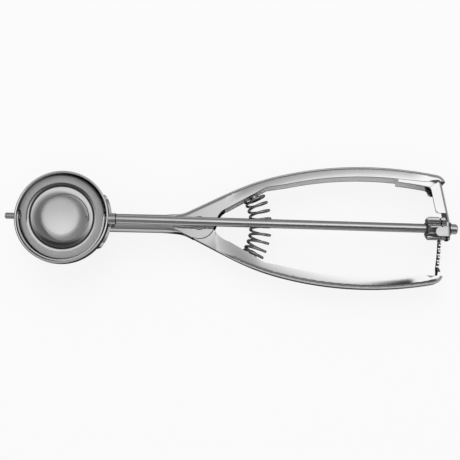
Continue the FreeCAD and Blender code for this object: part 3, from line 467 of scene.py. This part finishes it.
MATERIALS: dict[str, bpy.types.Material] = {}


def material_for(finish: Steel) -> bpy.types.Material:
    """The material of a finish, made once."""
    if finish.name not in MATERIALS:
        MATERIALS[finish.name] = finish.build()
    return MATERIALS[finish.name]


# Sub-assemblies

@dataclass
class SubAssembly:
    """Shared ways to dress the frame's own nodes."""

    body: str = "frame"

    def dress(self, node: str, finish: Steel) -> None:
        """Give a frame node its steel and smooth shading, without touching its mesh.

        Args:
            node: The node's name in the frame.
            finish: The steel that it is made of.
        """
        obj = frame["nodes"][node]
        obj.data.materials.clear()
        obj.data.materials.append(material_for(finish))
        obj.data.polygons.foreach_set("use_smooth", [True] * len(obj.data.polygons))
        weld = obj.modifiers.new("Join facets", "WELD")
        weld.merge_threshold = WELD_MM * MM
        split = obj.modifiers.new("Keep edges", "EDGE_SPLIT")
        split.split_angle = math.radians(SHEET_ANGLE_DEG)
        normals = obj.modifiers.new("Even faces", "WEIGHTED_NORMAL")
        normals.keep_sharp = True
        LOG.info("%s dressed in %s", node, finish.name)


@dataclass
class BowedChannel:
    """The bowed run of a handle, where the press left the flat sides of its channel crowned.

    The sides fall away a little toward the channel's back, and the inside keeps the mill's dull
    skin, coloured near white as painted light in the channel's shade.
    Side is 1 where the back looks toward +Y and -1 where it looks toward -Y. Pairs of lengths are
    places along X between which the crown fades in or out, or the soft joggle runs.
    """

    node: str
    side: float
    fade_in_mm: tuple[float, float]
    fade_out_mm: tuple[float, float] = (90.0, 101.0)
    joggle_mm: tuple[float, float] | None = None
    slice_mm: float = 3.0
    cuts: int = 1
    crown_mm: float = 0.75
    crown_run_mm: float = 5.7
    crown_power: float = 1.6
    probe_mm: float = 0.05        # step over which the crown's slopes are measured
    flat_cosine: float = 0.97     # a face steeper than this belongs to a flat side
    sheet_mm: float = 1.2
    inside_end_mm: float = 112.0
    under_skin: float = 0.55      # depth in sheets from which a face counts as inside
    near_back: float = 2.5        # reach in sheets of the inside's back, whatever way it faces
    inward: float = -0.3          # a face whose normal is below this looks inward

    def build(self, name: str, body: str, slot: str) -> None:
        """Copy the handle's node, crown its sides and give it its two finishes.

        Args:
            name: The piece's name.
            body: The body that carries it.
            slot: The record's material slot.
        """
        obj = bpy.data.objects.new(name, frame["nodes"][self.node].data.copy())
        bpy.context.scene.collection.objects.link(obj)
        only(obj)
        bpy.ops.object.mode_set(mode="EDIT")
        bpy.ops.mesh.select_all(action="SELECT")
        bpy.ops.mesh.remove_doubles(threshold=WELD_MM * MM)
        self._slice()
        low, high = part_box("lever_handle")
        middle = (low[2] + high[2]) / 2
        self._split_sides(obj)
        outline = self._outline(obj, middle)
        obj.data.materials.clear()
        for finish in (PRESSED_POLISH, ROLLED_SKIN_AND_PAINTED_LIGHT):
            obj.data.materials.append(material_for(finish))
        self._mark_inside(obj, outline, middle)
        smooth_faces(obj, SHEET_ANGLE_DEG)
        self._crown(obj, outline, middle)
        hand_over(obj, name, body, slot, self.node)

    def _stations(self) -> list[float]:
        """Places along X, in metres, at which the channel is cut across."""
        count = int((self.fade_out_mm[1] - self.fade_in_mm[0]) / self.slice_mm)
        return [(self.fade_in_mm[0] + i * self.slice_mm) * MM for i in range(count + 1)]

    def _slice(self) -> None:
        """Cut the mesh in edit mode across the handle at every station."""
        for x in self._stations():
            bpy.ops.mesh.select_all(action="SELECT")
            bpy.ops.mesh.bisect(plane_co=(x, 0, 0), plane_no=(1, 0, 0))
        bpy.ops.object.mode_set(mode="OBJECT")

    def _split_sides(self, obj: bpy.types.Object) -> None:
        """Divide the channel finely enough for its sides to curve."""
        first, last = self._stations()[0], self._stations()[-1]
        pick(obj, "FACE", lambda f: first < f.center.x < last)
        bpy.ops.mesh.quads_convert_to_tris()
        bpy.ops.mesh.subdivide(number_cuts=self.cuts)
        bpy.ops.object.mode_set(mode="OBJECT")

    def _outline(self, obj: bpy.types.Object, middle: float) -> Outline:
        """The channel's back line and half depth at each station.

        Args:
            obj: The sliced handle.
            middle: Height of the channel's middle plane.

        Returns:
            Place along X, distance from the middle line, and half depth, for each station.
        """
        lines = []
        for x in self._stations():
            near = [v.co for v in obj.data.vertices if abs(v.co.x - x) < SAME_PLACE]
            lines.append((x, max(self.side * p.y for p in near),
                          max(abs(p.z - middle) for p in near)))
        return lines

    def _at(self, outline: Outline, co: Vector) -> tuple[float, float] | None:
        """Where a place lies in the channel.

        Args:
            outline: The channel's stations.
            co: The place.

        Returns:
            Distance in from the channel's back and half depth there, or None outside.
        """
        step = self.slice_mm * MM
        i = int((co.x - outline[0][0]) // step)
        if co.x < outline[0][0] or i >= len(outline) - 1:
            return None
        t = (co.x - outline[i][0]) / step
        back = outline[i][1] * (1 - t) + outline[i + 1][1] * t
        half = outline[i][2] * (1 - t) + outline[i + 1][2] * t
        slope = self._slope(outline, i) * (1 - t) + self._slope(outline, i + 1) * t
        return (back - self.side * co.y) / math.hypot(1.0, slope), half

    def _slope(self, outline: Outline, i: int) -> float:
        """Slope of the channel's back line at a station."""
        a, b = max(0, i - 1), min(len(outline) - 1, i + 1)
        return (outline[b][1] - outline[a][1]) / (outline[b][0] - outline[a][0])

    def _joggle(self, outline: Outline, x: float) -> float:
        """How much deeper a soft joggle makes the channel at a place along X.

        Args:
            outline: The channel's stations.
            x: The place, in metres.

        Returns:
            The factor on the half depth.
        """
        start, end = (edge * MM for edge in self.joggle_mm)
        if not start < x < end:
            return 1.0
        depths = [self._half(outline, place_x) for place_x in (start, x, end)]
        return (depths[0] + (depths[2] - depths[0]) * ease(x, start, end)) / depths[1]

    def _half(self, outline: Outline, x: float) -> float:
        """Half depth of the channel at a place along X."""
        t = (x - outline[0][0]) / (self.slice_mm * MM)
        i = min(len(outline) - 2, max(0, int(t)))
        return outline[i][2] + (outline[i + 1][2] - outline[i][2]) * (t - i)

    def _mark_inside(self, obj: bpy.types.Object, outline: Outline, middle: float) -> None:
        """Give the faces inside the channel the mill's dull skin, whose near-white colour is
        painted light in the channel's shade.

        Args:
            obj: The handle.
            outline: The channel's stations.
            middle: Height of the channel's middle plane.
        """
        skin = self.sheet_mm * MM
        for face in obj.data.polygons:
            place_in = self._at(outline, face.center)
            if place_in is None or face.center.x > self.inside_end_mm * MM:
                continue
            run, half = place_in
            up = face.normal.z * math.copysign(1.0, face.center.z - middle)
            under = self.under_skin * skin
            deep = abs(face.center.z - middle) < half - under and run > under
            if deep and (up < self.inward or run < self.near_back * skin):
                face.material_index = 1

    def _depth(self, outline: Outline, x: float, y: float) -> tuple[float, float] | None:
        """Half depth with the soft joggle and the crown in it.

        Args:
            outline: The channel's stations.
            x: Place along X, in metres.
            y: Place along Y, in metres.

        Returns:
            The half depth and its share of the plain one, or None outside the channel.
        """
        place_in = self._at(outline, Vector((x, y, 0.0)))
        if place_in is None:
            return None
        run, half = place_in
        deep = half if self.joggle_mm is None else half * self._joggle(outline, x)
        rest = 1.0 - min(1.0, max(0.0, run / (self.crown_run_mm * MM)))
        fade = ease(x / MM, *self.fade_in_mm) * (1.0 - ease(x / MM, *self.fade_out_mm))
        deep -= self.crown_mm * MM * rest ** self.crown_power * fade
        return deep, deep / half

    def _crown(self, obj: bpy.types.Object, outline: Outline, middle: float) -> None:
        """Let the sides fall away toward the channel's back, fading out at both ends.

        The smooth normals of the plain channel are carried over to the crowned one.

        Args:
            obj: The handle.
            outline: The channel's stations.
            middle: Height of the channel's middle plane.
        """
        data = obj.data
        step = self.probe_mm * MM
        shape = {}
        for vertex in data.vertices:
            x, y = vertex.co.x, vertex.co.y
            here = self._depth(outline, x, y)
            pairs = [[self._depth(outline, x + sign * dx, y + sign * dy) for sign in (-1, 1)]
                     for dx, dy in ((step, 0.0), (0.0, step))]
            if here is not None and not any(None in pair for pair in pairs):
                rise, change = ([(after[k] - before[k]) / (2 * step) for before, after in pairs]
                                for k in (0, 1))
                shape[vertex.index] = (here[1], rise, change)
        normals = [corner.vector.copy() for corner in data.corner_normals]
        for face in data.polygons:
            for loop in face.loop_indices:
                known = shape.get(data.loops[loop].vertex_index)
                if known is None:
                    continue
                share, rise, change = known
                height = data.vertices[data.loops[loop].vertex_index].co.z - middle
                n = normals[loop]
                if abs(face.normal.z) > self.flat_cosine:
                    flip = math.copysign(1.0, face.normal.z * height)
                    n = Vector((-rise[0], -rise[1], math.copysign(1.0, height))) * flip
                else:
                    n = Vector((n.x - n.z * height * change[0] / share,
                                n.y - n.z * height * change[1] / share, n.z / share))
                normals[loop] = n.normalized()
        for index, known in shape.items():
            co = data.vertices[index].co
            co.z = middle + (co.z - middle) * known[0]
        data.normals_split_custom_set(normals)


@dataclass
class Bowl(SubAssembly):
    """Spun half sphere with a straight lip, on its saddle plate and front bush."""

    wall: float = 1.15
    lip: float = 2.4
    segments: int = 192
    rings: int = 128
    rim_round: float = 0.46       # share of the wall that each rim edge is rounded by
    rim_steps: int = 6
    level: float = 0.01           # an edge that rises less than this runs level
    hole_r: float = 1.66
    drill_sides: int = 48
    smooth_angle: float = 40.0

    def build(self) -> None:
        """Make the bowl anew and dress what holds it."""
        self.mesh()
        self.dress("saddle", PRESSED_POLISH)
        self.dress("front_bush", TURNED_END)

    def mesh(self) -> None:
        """Half of a ball, its lip pulled up, its wall thickened and its rim rounded."""
        outer_r = (BORE_R_MM + self.wall) * MM
        clear_selection()
        bpy.ops.mesh.primitive_uv_sphere_add(segments=self.segments, ring_count=self.rings,
                                             radius=outer_r)
        obj = bpy.context.object
        self._cut_open(obj)
        self._pull_lip(obj)
        bake_modifier(obj, "SOLIDIFY", thickness=self.wall * MM, offset=-1.0,
                      use_even_offset=True)
        self._round_rim(obj)
        place(obj, SPINDLE.matrix())
        self._drill(obj)
        smooth_faces(obj, self.smooth_angle)
        obj.data.materials.append(material_for(SPUN_MIRROR))
        hand_over(obj, "bowl_spun", self.body, "bowl_steel", "bowl")

    def _cut_open(self, obj: bpy.types.Object) -> None:
        """Remove the ball's upper half."""
        pick(obj, "FACE", lambda f: f.center.z > 0)
        bpy.ops.mesh.delete(type="FACE")
        bpy.ops.object.mode_set(mode="OBJECT")

    def _pull_lip(self, obj: bpy.types.Object) -> None:
        """Extrude the open edge straight up."""
        pick(obj, "EDGE", lambda e: abs(edge_middle(obj, e).z) < SAME_PLACE
             and abs(edge_direction(obj, e).z) < self.level)
        bpy.ops.mesh.extrude_region_move(TRANSFORM_OT_translate={"value": (0, 0, self.lip * MM)})
        bpy.ops.object.mode_set(mode="OBJECT")

    def _round_rim(self, obj: bpy.types.Object) -> None:
        """Round both edges of the rim over nearly the whole wall."""
        top = self.lip * MM
        pick(obj, "EDGE", lambda e: abs(edge_middle(obj, e).z - top) < SAME_PLACE
             and self._runs_round(obj, e))
        bpy.ops.mesh.bevel(offset=self.wall * self.rim_round * MM, segments=self.rim_steps,
                           profile=0.5, affect="EDGES")
        bpy.ops.object.mode_set(mode="OBJECT")

    def _runs_round(self, obj: bpy.types.Object, edge: bpy.types.MeshEdge) -> bool:
        """Whether a rim edge runs round the bowl and not across its wall."""
        a, b = (obj.data.vertices[i].co for i in edge.vertices)
        return abs(a.xy.length - b.xy.length) < SAME_PLACE

    def _drill(self, obj: bpy.types.Object) -> None:
        """Cut the two spindle holes with one long drill."""
        clear_selection()
        bpy.ops.mesh.primitive_cylinder_add(vertices=self.drill_sides,
                                            radius=self.hole_r * MM,
                                            depth=4 * BORE_R_MM * MM,
                                            rotation=(0, math.pi / 2, 0))
        drill = bpy.context.object
        bpy.ops.object.transform_apply(location=True, rotation=True, scale=True)
        place(drill, SPINDLE.matrix())
        bake_modifier(obj, "BOOLEAN", object=drill, operation="DIFFERENCE", solver="EXACT")
        bpy.data.objects.remove(drill)


@dataclass
class Spindle(SubAssembly):
    """The turning line: rod, wiper, front stub, pinion and end button."""

    body: str = "spindle"

    def build(self) -> None:
        """Dress every turning piece."""
        self.dress("spindle_rod", DRAWN_ROD)
        self.dress("front_pin", TURNED_END)
        self.dress("wiper", POLISHED_BLADE)
        self.dress("pinion", CUT_GEAR)
        self.dress("pinion_pin", TURNED_END)
        self.dress("end_washer", TURNED_END)
        self.dress("end_button", TURNED_END)


@dataclass
class FixedHandle(SubAssembly):
    """Neck, fixed handle and what is fastened to it."""

    def build(self) -> None:
        """Dress the fixed pieces."""
        BowedChannel("frame_handle", 1.0, (-4.0, 6.0)).build("frame_handle_pressed", self.body,
                                                            "handle_steel")
        self.dress("hinge_rivet", TURNED_END)
        self.dress("upper_spring_peg", TURNED_END)
        self.dress("guard_clip", BRUSHED_CLIP)
        self.dress("rear_bush", TURNED_END)
        self.dress("return_spring", SPRING_WIRE)


@dataclass
class Lever(SubAssembly):
    """Squeezed handle with its rack."""

    body: str = "lever"

    def build(self) -> None:
        """Dress the pieces that swing on the hinge."""
        channel = BowedChannel("lever_handle", -1.0, (-8.1, 12.0), slice_mm=2.0,
                               joggle_mm=(-8.0, 16.0))
        channel.build("lever_handle_pressed", self.body, "handle_steel")
        self.dress("hinge_spacer", TURNED_END)
        self.dress("lower_spring_peg", TURNED_END)
        self.dress("rack_strip", PRESSED_POLISH)
        self.dress("rack_rivet_front", TURNED_END)
        self.dress("rack_rivet_rear", TURNED_END)


# Studio

@dataclass(frozen=True)
class Lamp:
    """A soft square lamp aimed at the scoop."""

    name: str
    place_mm: tuple[float, float, float]
    side_mm: float
    watts: float

    def build(self) -> None:
        """Hang the lamp and point it at the origin, unseen by the metal."""
        data = bpy.data.lights.new(self.name, "AREA")
        data.size = self.side_mm * MM
        data.energy = self.watts
        lamp = bpy.data.objects.new(self.name, data)
        bpy.context.scene.collection.objects.link(lamp)
        lamp.location = Vector(self.place_mm) * MM
        lamp.visible_glossy = False
        lamp.rotation_euler = (-lamp.location).to_track_quat("-Z", "Y").to_euler()


@dataclass
class Studio:
    """Pale floor, soft light, white surroundings and the camera of the photograph.

    Stops are pairs of an angle in degrees from a direction and the grey level there.
    """

    floor_side_mm: float = 3000.0
    floor_gap_mm: float = 0.05
    floor_colour: str = "DCDCDC"
    floor_roughness: float = 0.9
    floor_shine: float = 0.1
    floor_white_seen: float = 0.85
    floor_white_in_metal: float = 0.1
    world_light: float = 0.80
    cloth_middle: tuple[float, float, float] = (0.358, 0.061, 0.932)
    cloth_peak: float = 1.8
    cloth_stops: tuple[tuple[float, float], ...] = (
        (90.0, 0.12), (70.0, 0.19), (55.0, 0.23), (47.0, 0.25), (41.0, 0.33), (36.0, 0.42),
        (30.0, 0.53), (25.0, 0.72), (21.0, 0.85), (17.0, 1.0))
    lens_place: tuple[float, float, float] = (0.262, -0.182, 0.948)
    lens_stops: tuple[tuple[float, float], ...] = ((9.0, 1.0), (5.5, 0.05))
    stand_place: tuple[float, float, float] = (0.22, -0.53, 0.82)
    stand_stops: tuple[tuple[float, float], ...] = ((24.0, 1.0), (18.0, 0.42), (13.0, 0.15))
    lamp: Lamp = Lamp("Overhead softbox", (-60.0, 330.0, 620.0), 500.0, 1.6)
    camera_place_mm: tuple[float, float, float] = (19.6, -72.5, 401.9)
    camera_turn_deg: tuple[float, float, float] = (10.15, 3.0, 1.75)
    focal_px: float = 760.0
    sensor_mm: float = 36.0
    clip_start_m: float = 0.01

    def build(self) -> None:
        """Set up everything round the scoop."""
        self.floor()
        self.world()
        self.lamp.build()
        self.camera()
        bpy.context.scene.view_settings.view_transform = "Standard"

    def floor(self) -> None:
        """Pale floor that keeps the scoop's shadow and looks nearly white to the camera."""
        clear_selection()
        bpy.ops.mesh.primitive_plane_add(size=self.floor_side_mm * MM,
                                         location=(0, 0, -self.floor_gap_mm * MM))
        floor = bpy.context.object
        floor.name = "floor"
        material = bpy.data.materials.new("Matt white board")
        material.use_nodes = True
        tree = material.node_tree
        shader = tree.nodes["Principled BSDF"]
        shader.inputs["Base Color"].default_value = linear(self.floor_colour)
        shader.inputs["Roughness"].default_value = self.floor_roughness
        shader.inputs["Specular IOR Level"].default_value = self.floor_shine
        white = add_node(tree, "ShaderNodeEmission", {}, {})
        white.inputs["Color"].default_value = linear("FFFFFF")
        white.inputs["Strength"].default_value = 1.0
        path = add_node(tree, "ShaderNodeLightPath", {}, {})
        shiny = self._in_metal(tree, path)
        dimmed = add_node(tree, "ShaderNodeMath", {"operation": "MULTIPLY"}, {0: shiny.outputs[0]})
        dimmed.inputs[1].default_value = self.floor_white_in_metal
        seen = add_node(tree, "ShaderNodeMath", {"operation": "MULTIPLY_ADD"},
                        {0: path.outputs["Is Camera Ray"], 2: dimmed.outputs[0]})
        seen.inputs[1].default_value = self.floor_white_seen
        mix = add_node(tree, "ShaderNodeMixShader", {},
                       {0: seen.outputs[0], 1: shader.outputs[0], 2: white.outputs[0]})
        tree.links.new(mix.outputs[0], tree.nodes["Material Output"].inputs["Surface"])
        floor.data.materials.append(material)

    def world(self) -> None:
        """White to the camera, a cloth tent in the metal, and an even fill light otherwise."""
        world = bpy.data.worlds.new("Studio")
        bpy.context.scene.world = world
        world.use_nodes = True
        tree = world.node_tree
        fill = tree.nodes["Background"]
        fill.inputs["Color"].default_value = linear("FFFFFF")
        fill.inputs["Strength"].default_value = self.world_light
        seen = add_node(tree, "ShaderNodeBackground", {}, {})
        seen.inputs["Color"].default_value = linear("FFFFFF")
        seen.inputs["Strength"].default_value = 1.0
        mirrored = add_node(tree, "ShaderNodeBackground", {}, {"Strength": self._tent(tree)})
        path = add_node(tree, "ShaderNodeLightPath", {}, {})
        shiny = self._in_metal(tree, path)
        metal = add_node(tree, "ShaderNodeMixShader", {},
                         {0: shiny.outputs[0], 1: fill.outputs[0], 2: mirrored.outputs[0]})
        mix = add_node(tree, "ShaderNodeMixShader", {},
                       {0: path.outputs["Is Camera Ray"], 1: metal.outputs[0], 2: seen.outputs[0]})
        tree.links.new(mix.outputs[0], tree.nodes["World Output"].inputs["Surface"])

    def _in_metal(self, tree: bpy.types.NodeTree, path: bpy.types.Node) -> bpy.types.Node:
        """One for rays that left a mirror or passed through something clear."""
        return add_node(tree, "ShaderNodeMath", {"operation": "MAXIMUM"},
                        {0: path.outputs["Is Glossy Ray"], 1: path.outputs["Is Transmission Ray"]})

    def _tent(self, tree: bpy.types.NodeTree) -> bpy.types.NodeSocket:
        """What metal sees: a white cloth overhead that darkens down to the room's walls.

        The cloth is brightest round its middle. The lens looks through a hole in it, and the
        camera's dark stand hangs beside the hole.

        Args:
            tree: The world's tree.

        Returns:
            The socket that carries the brightness.
        """
        coords = add_node(tree, "ShaderNodeTexCoord", {}, {})
        cloth = self._toward(tree, coords, self.cloth_middle)
        light = self._ramp(tree, cloth, self.cloth_stops)
        eye = self._toward(tree, coords, self.lens_place)
        hole = self._ramp(tree, eye, self.lens_stops)
        stand = self._ramp(tree, self._toward(tree, coords, self.stand_place), self.stand_stops)
        both = add_node(tree, "ShaderNodeMath", {"operation": "MULTIPLY"},
                        {0: light.outputs["Color"], 1: hole.outputs["Color"]})
        open_cloth = add_node(tree, "ShaderNodeMath", {"operation": "MULTIPLY"},
                              {0: both.outputs[0], 1: stand.outputs["Color"]})
        level = add_node(tree, "ShaderNodeMath", {"operation": "MULTIPLY"},
                         {0: open_cloth.outputs[0]})
        level.inputs[1].default_value = self.cloth_peak
        return level.outputs[0]

    def _toward(self, tree: bpy.types.NodeTree, coords: bpy.types.Node,
                middle: tuple[float, float, float]) -> bpy.types.Node:
        """Cosine of the angle between the looked-at direction and a fixed one."""
        dot = add_node(tree, "ShaderNodeVectorMath", {"operation": "DOT_PRODUCT"},
                       {0: coords.outputs["Generated"]})
        dot.inputs[1].default_value = Vector(middle).normalized()
        return dot

    def _ramp(self, tree: bpy.types.NodeTree, dot: bpy.types.Node,
              stops: tuple[tuple[float, float], ...]) -> bpy.types.Node:
        """Grey level by the angle from a direction.

        Args:
            tree: The world's tree.
            dot: Cosine of that angle.
            stops: Angles in degrees, outermost first, each with its grey level.

        Returns:
            The ramp's node.
        """
        ramp = add_node(tree, "ShaderNodeValToRGB", {}, {0: dot.outputs["Value"]})
        while len(ramp.color_ramp.elements) < len(stops):
            ramp.color_ramp.elements.new(0.5)
        for element, (angle, grey) in zip(ramp.color_ramp.elements, stops):
            element.position = max(0.0, math.cos(math.radians(angle)))
            element.color = (grey, grey, grey, 1.0)
        return ramp

    def camera(self) -> None:
        """The photograph's view: nearly straight down, a little from the lever's side."""
        data = bpy.data.cameras.new("Camera")
        data.sensor_width = self.sensor_mm
        data.lens = self.focal_px * self.sensor_mm / PHOTO_SIDE_PX
        data.clip_start = self.clip_start_m
        camera = bpy.data.objects.new("Camera", data)
        bpy.context.scene.collection.objects.link(camera)
        pitch, yaw, roll = (math.radians(a) for a in self.camera_turn_deg)
        turn = Matrix.Rotation(yaw, 4, "Y") @ Matrix.Rotation(pitch, 4, "X") \
            @ Matrix.Rotation(roll, 4, "Z")
        camera.matrix_world = Matrix.Translation(Vector(self.camera_place_mm) * MM) @ turn
        bpy.context.scene.camera = camera


def main() -> None:
    """Build the scoop's sub-assemblies in order, then the studio round them."""
    logging.basicConfig(level=logging.INFO, format="%(name)s %(message)s")
    for part in (Bowl(), FixedHandle(), Lever(), Spindle()):
        part.build()
        LOG.info("%s done", type(part).__name__)
    Studio().build()


if __name__ == "__main__":
    main()
